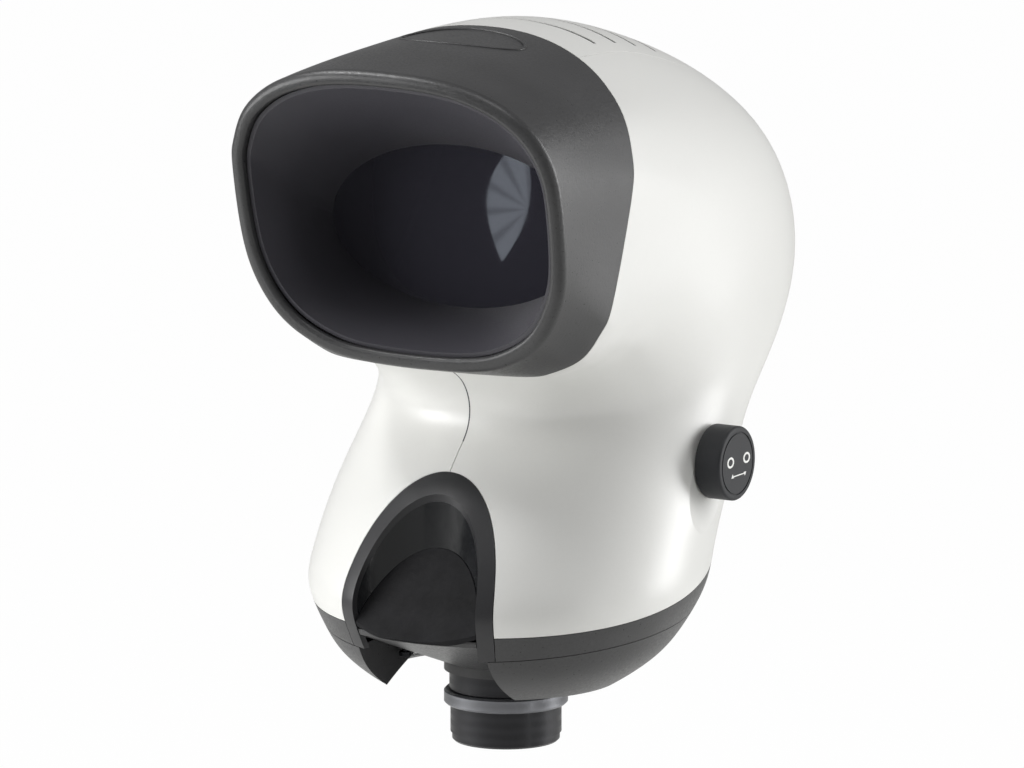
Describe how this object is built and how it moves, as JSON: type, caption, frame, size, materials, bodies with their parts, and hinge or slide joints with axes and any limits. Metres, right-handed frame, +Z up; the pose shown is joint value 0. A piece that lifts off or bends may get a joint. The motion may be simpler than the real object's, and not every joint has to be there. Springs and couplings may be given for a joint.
{
  "type": "stereo viewer head",
  "caption": "Eyepiece-less stereo microscope head with a wide viewing hood, lamp lobes round a removable objective, an eye-distance knob and a rear mounting face.",
  "frame": {"origin": "centre of the rear mounting face, midway between its four threaded holes", "axes": "+Z up, -Y towards the viewer out of the hood, +X on the right of the front view; +Y is the outward normal of the mounting face"},
  "size_m": [0.1966, 0.2891, 0.3403],
  "materials": {
    "dark_abs": "fine spark texture",
    "liner_black": "matt",
    "window_glass": "polished, tinted",
    "white_casing": "satin",
    "gloss_black": "gloss",
    "panel_black": "matt",
    "steel": "turned",
    "black_anodised": "satin anodised",
    "grey_anodised": "satin anodised",
    "lens_glass": "polished, coated",
    "brass": "turned",
    "white_ink": "matt",
    "cast_aluminium": "cast and machined",
    "mirror_silver": "polished",
    "circuit_board": "solder mask",
    "lamp_pane": "frosted",
    "led_white": "gloss"
  },
  "bodies": {
    "head": {"arch_liner": "gloss_black", "arch_panel": "panel_black", "arch_trim": "dark_abs", "control_board": "circuit_board", "field_mirror": "mirror_silver", "guide_rod": "steel", "hood_badge_plate": "dark_abs", "hood_liner": "liner_black", "left_casing": "white_casing", "left_cheek": "dark_abs", "left_lamp_window": "lamp_pane", "left_led_board": "circuit_board", "left_leds": "led_white", "left_side_plate": "cast_aluminium", "mirror_cell": "cast_aluminium", "mount_screws": "steel", "objective_socket": "black_anodised", "optical_chassis": "cast_aluminium", "power_inlet": "gloss_black", "rear_mount": "cast_aluminium", "right_casing": "white_casing", "right_cheek": "dark_abs", "right_lamp_window": "lamp_pane", "right_led_board": "circuit_board", "right_leds": "led_white", "right_side_plate": "cast_aluminium", "shaft_bushes": "brass", "skirt_band": "dark_abs", "splitter_mirror": "mirror_silver", "switch_body": "gloss_black", "top_cover": "white_casing", "tray_screws": "steel", "underside_tray": "dark_abs", "viewing_hood": "dark_abs", "viewing_window": "window_glass"},
    "eye_distance_drive": {"eye_distance_knob": "dark_abs", "knob_pictogram": "white_ink", "cross_shaft": "steel"},
    "right_carriage": {"right_carriage": "black_anodised", "right_pupil_lens": "lens_glass"},
    "left_carriage": {"left_carriage": "black_anodised", "left_pupil_lens": "lens_glass"},
    "lock_collar": {"lock_collar": "grey_anodised"},
    "objective": {"objective_barrel": "black_anodised", "objective_front_lens": "lens_glass", "objective_retaining_ring": "black_anodised", "objective_rear_lens": "lens_glass"},
    "lamp_button": {"lamp_button": "dark_abs"}
  },
  "joints": [
    {"name": "eye_distance_turn", "type": "hinge", "parent": "head", "child": "eye_distance_drive", "pos_m": [0, -0.111, 0.023], "axis": [1, 0, 0], "range_deg": [-180, 180]},
    {"name": "right_carriage_slide", "type": "slide", "parent": "head", "child": "right_carriage", "axis": [1, 0, 0], "range_m": [-0.0041, 0.0041]},
    {"name": "left_carriage_slide", "type": "slide", "parent": "head", "child": "left_carriage", "axis": [1, 0, 0], "range_m": [-0.0041, 0.0041]},
    {"name": "lock_collar_turn", "type": "hinge", "parent": "head", "child": "lock_collar", "pos_m": [0, -0.148, -0.091], "axis": [0, 0, 1], "range_deg": [0, 35]},
    {"name": "objective_release", "type": "slide", "parent": "head", "child": "objective", "axis": [0, 0, -1], "range_m": [0, 0.034]},
    {"name": "lamp_button_press", "type": "slide", "parent": "head", "child": "lamp_button", "axis": [0, -1, 0], "range_m": [0, 0.0015], "stiffness_N_per_m": 600, "springref_m": -0.0012}
  ],
  "couplings": [
    {"joint": "right_carriage_slide", "follows": "eye_distance_turn", "m_per_rad": 0.0012732},
    {"joint": "left_carriage_slide", "follows": "eye_distance_turn", "m_per_rad": -0.0012732}
  ]
}
